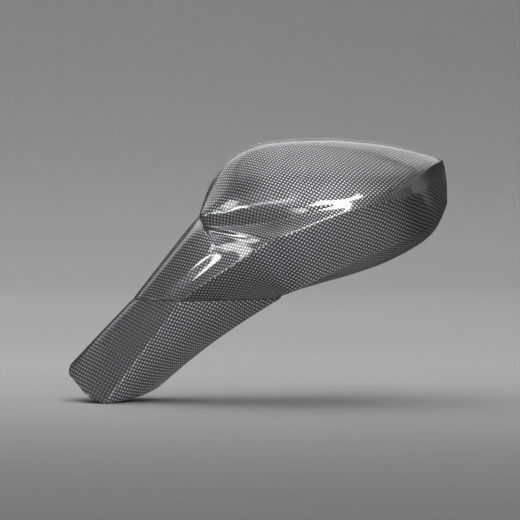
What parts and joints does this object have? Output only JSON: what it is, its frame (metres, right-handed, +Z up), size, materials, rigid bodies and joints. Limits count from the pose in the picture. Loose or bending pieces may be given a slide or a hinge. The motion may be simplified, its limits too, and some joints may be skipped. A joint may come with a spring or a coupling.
{
  "type": "wing mirror cover",
  "caption": "Two-piece woven carbon cover for a car's wing mirror: a domed pod open at the rear and the sloping stalk that carries it.",
  "frame": {"origin": "middle of the cable hole at the foot's outer face, where the stalk meets the door", "axes": "+X outwards from the car along the mirror, +Y rearwards, +Z up"},
  "size_m": [0.307, 0.1059, 0.2102],
  "materials": {
    "carbon": "plain-weave carbon cloth with 2 mm tows under clear gloss lacquer",
    "nylon": "moulded black nylon",
    "brass": "turned brass",
    "alloy": "bead-blasted plate"
  },
  "bodies": {
    "root": {"head_shell": "carbon", "stalk_shell": "carbon", "foot_bracket": "alloy", "head_boss_1": "nylon", "head_boss_2": "nylon", "head_boss_3": "nylon", "head_boss_4": "nylon", "head_insert_1": "brass", "head_insert_2": "brass", "head_insert_3": "brass", "head_insert_4": "brass"}
  },
  "joints": []
}
